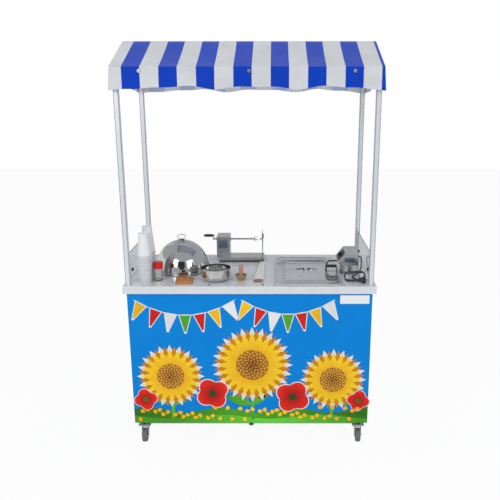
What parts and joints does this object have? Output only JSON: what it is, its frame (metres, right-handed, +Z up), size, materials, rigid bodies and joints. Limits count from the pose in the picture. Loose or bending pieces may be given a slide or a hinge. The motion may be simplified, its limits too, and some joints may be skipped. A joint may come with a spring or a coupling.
{
  "type": "food vending cart",
  "caption": "Wheeled corn and potato vending cart with a striped canopy, lidded steamer and tank, a hand potato twister and an electric cutter.",
  "frame": {"origin": "on the floor under the middle of the cart", "axes": "+X to the right seen from the printed front, -Y to the front, +Z up"},
  "size_m": [1.3082, 0.6928, 2.115],
  "materials": {
    "frame_steel": "satin grey paint on square steel tube",
    "zinc_steel": "zinc-plated",
    "sheet_steel": "plain folded sheet",
    "blue_panel": "gloss printed film on sheet steel",
    "white_top": "bright white-grey sheet, semi-gloss",
    "white_aluminium": "satin",
    "striped_cloth": "coated cloth with blue and white stripes",
    "clear_glass": "clear float glass, ground edges",
    "black_plastic": "moulded black",
    "stainless": "brushed stainless",
    "cast_heater": "black heat-proof",
    "polished_steel": "mirror-polished stainless",
    "dark_wire": "browned steel wire",
    "cord_rubber": "black sheath",
    "cup_foam": "white foam",
    "jar_plastic": "clear jar with a red cap",
    "sponge_foam": "open-cell foam",
    "turned_wood": "oiled turned wood",
    "skewer_wood": "plain bamboo in a clear bag",
    "grey_rubber": "solid grey tread"
  },
  "bodies": {
    "cart": {"base_frame": "frame_steel", "blade_plate": "stainless", "cabinet_floor": "sheet_steel", "canopy_cover": "striped_cloth", "canopy_posts": "white_aluminium", "caster_plates": "zinc_steel", "cord_gland": "black_plastic", "cord_hank": "cord_rubber", "cover_screws": "zinc_steel", "dial_panel": "black_plastic", "electric_head": "stainless", "front_panel": "blue_panel", "fryer_tank": "stainless", "glass_clips": "black_plastic", "hinge_knuckles": "zinc_steel", "left_glass": "clear_glass", "left_panel": "blue_panel", "plug": "black_plastic", "post_spigots": "zinc_steel", "pot_heater": "cast_heater", "power_cord": "cord_rubber", "rear_frame": "sheet_steel", "right_glass": "clear_glass", "right_panel": "blue_panel", "roof_frame": "white_aluminium", "steam_rack": "stainless", "steamer_pot": "stainless", "twister_base": "stainless", "twister_blade": "stainless", "twister_column": "stainless", "worktop": "white_top"},
    "fork_front_left": {"caster_fork_front_left": "zinc_steel"},
    "wheel_front_left": {"caster_wheel_front_left": "grey_rubber"},
    "fork_front_right": {"caster_fork_front_right": "zinc_steel"},
    "wheel_front_right": {"caster_wheel_front_right": "grey_rubber"},
    "fork_rear_left": {"caster_fork_rear_left": "zinc_steel"},
    "wheel_rear_left": {"caster_wheel_rear_left": "grey_rubber"},
    "fork_rear_right": {"caster_fork_rear_right": "zinc_steel"},
    "wheel_rear_right": {"caster_wheel_rear_right": "grey_rubber"},
    "right_door": {"right_door": "sheet_steel", "right_door_pull": "zinc_steel"},
    "left_door": {"left_door": "sheet_steel", "left_door_pull": "zinc_steel"},
    "dome": {"dome_lid": "polished_steel", "dome_handle": "polished_steel"},
    "tank_lid": {"tank_lid": "stainless", "basket_handle": "dark_wire"},
    "tongs": {"tongs": "polished_steel"},
    "sleeve": {"drive_sleeve": "stainless"},
    "feed_rod": {"feed_rod": "stainless", "crank": "stainless"},
    "crank_grip": {"crank_grip": "black_plastic"},
    "head_dial": {"head_dial": "black_plastic"},
    "front_cups": {"front_cups": "cup_foam"},
    "rear_cups": {"rear_cups": "cup_foam"},
    "jar": {"jar": "jar_plastic"},
    "sponge": {"sponge": "sponge_foam"},
    "mixing_bowl": {"mixing_bowl": "polished_steel"},
    "pestle_bowl": {"pestle_bowl": "turned_wood"},
    "skewers": {"skewers": "skewer_wood"}
  },
  "joints": [
    {"name": "swivel_front_left", "type": "hinge", "parent": "cart", "child": "fork_front_left", "pos_m": [-0.587, -0.262, 0.0875], "axis": [0, 0, 1], "continuous": true},
    {"name": "roll_front_left", "type": "hinge", "parent": "fork_front_left", "child": "wheel_front_left", "pos_m": [-0.587, -0.28, 0.0375], "axis": [1, 0, 0], "continuous": true},
    {"name": "swivel_front_right", "type": "hinge", "parent": "cart", "child": "fork_front_right", "pos_m": [0.587, -0.262, 0.0875], "axis": [0, 0, 1], "continuous": true},
    {"name": "roll_front_right", "type": "hinge", "parent": "fork_front_right", "child": "wheel_front_right", "pos_m": [0.587, -0.28, 0.0375], "axis": [1, 0, 0], "continuous": true},
    {"name": "swivel_rear_left", "type": "hinge", "parent": "cart", "child": "fork_rear_left", "pos_m": [-0.587, 0.262, 0.0875], "axis": [0, 0, 1], "continuous": true},
    {"name": "roll_rear_left", "type": "hinge", "parent": "fork_rear_left", "child": "wheel_rear_left", "pos_m": [-0.587, 0.244, 0.0375], "axis": [1, 0, 0], "continuous": true},
    {"name": "swivel_rear_right", "type": "hinge", "parent": "cart", "child": "fork_rear_right", "pos_m": [0.587, 0.262, 0.0875], "axis": [0, 0, 1], "continuous": true},
    {"name": "roll_rear_right", "type": "hinge", "parent": "fork_rear_right", "child": "wheel_rear_right", "pos_m": [0.587, 0.244, 0.0375], "axis": [1, 0, 0], "continuous": true},
    {"name": "right_door_hinge", "type": "hinge", "parent": "cart", "child": "right_door", "pos_m": [0.592, 0.319, 0.5], "axis": [0, 0, -1], "range_deg": [0, 110]},
    {"name": "left_door_hinge", "type": "hinge", "parent": "cart", "child": "left_door", "pos_m": [-0.592, 0.319, 0.5], "axis": [0, 0, 1], "range_deg": [0, 110]},
    {"name": "dome_lift", "type": "slide", "parent": "cart", "child": "dome", "axis": [0, 0, 1], "range_m": [0, 0.25]},
    {"name": "tank_lid_lift", "type": "slide", "parent": "cart", "child": "tank_lid", "axis": [0, 0, 1], "range_m": [0, 0.2]},
    {"name": "tongs_lift", "type": "slide", "parent": "tank_lid", "child": "tongs", "axis": [0, 0, 1], "range_m": [0, 0.2]},
    {"name": "sleeve_turn", "type": "hinge", "parent": "cart", "child": "sleeve", "pos_m": [-0.17, 0.21, 1.035], "axis": [1, 0, 0], "continuous": true},
    {"name": "rod_feed", "type": "slide", "parent": "sleeve", "child": "feed_rod", "axis": [1, 0, 0], "range_m": [-0.13, 0]},
    {"name": "grip_turn", "type": "hinge", "parent": "feed_rod", "child": "crank_grip", "pos_m": [-0.262, 0.25924, 1.04368], "axis": [1, 0, 0], "continuous": true},
    {"name": "dial_turn", "type": "hinge", "parent": "cart", "child": "head_dial", "pos_m": [0.492, -0.028, 1.001], "axis": [-0.7894, 0, 0.6139], "range_deg": [0, 270]},
    {"name": "front_cups_lift", "type": "slide", "parent": "cart", "child": "front_cups", "axis": [0, 0, 1], "range_m": [0, 0.2]},
    {"name": "rear_cups_lift", "type": "slide", "parent": "cart", "child": "rear_cups", "axis": [0, 0, 1], "range_m": [0, 0.2]},
    {"name": "jar_lift", "type": "slide", "parent": "cart", "child": "jar", "axis": [0, 0, 1], "range_m": [0, 0.2]},
    {"name": "sponge_lift", "type": "slide", "parent": "cart", "child": "sponge", "axis": [0, 0, 1], "range_m": [0, 0.2]},
    {"name": "mixing_bowl_lift", "type": "slide", "parent": "cart", "child": "mixing_bowl", "axis": [0, 0, 1], "range_m": [0, 0.2]},
    {"name": "pestle_bowl_lift", "type": "slide", "parent": "cart", "child": "pestle_bowl", "axis": [0, 0, 1], "range_m": [0, 0.2]},
    {"name": "skewers_lift", "type": "slide", "parent": "cart", "child": "skewers", "axis": [0, 0, 1], "range_m": [0, 0.2]}
  ]
}
